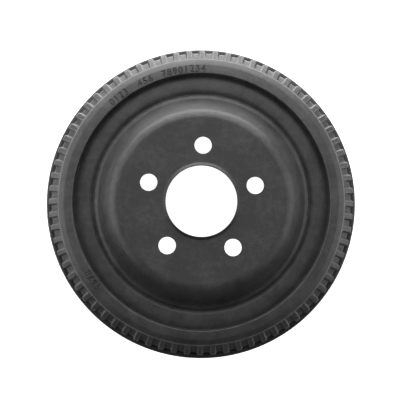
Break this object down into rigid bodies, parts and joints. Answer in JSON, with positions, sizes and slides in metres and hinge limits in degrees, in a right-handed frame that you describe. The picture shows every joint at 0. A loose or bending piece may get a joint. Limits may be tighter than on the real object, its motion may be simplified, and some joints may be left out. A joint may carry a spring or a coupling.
{
  "type": "brake drum",
  "caption": "Cast iron brake drum with a raised flat wheel face, centre bore, ring of stud holes, stepped web, crowned shoulder and cooling ribs round the outside.",
  "frame": {"origin": "centre of the open rim's end plane, on the wheel axis", "axes": "+Z along the wheel axis from the open rim to the wheel face; +Y through the first stud hole"},
  "size_m": [0.3236, 0.3236, 0.0864],
  "materials": {
    "casting": "dark grey baked coating on sand-cast iron, satin; friction surface machined bare"
  },
  "bodies": {
    "root": {"brake_drum": "casting"}
  },
  "joints": []
}
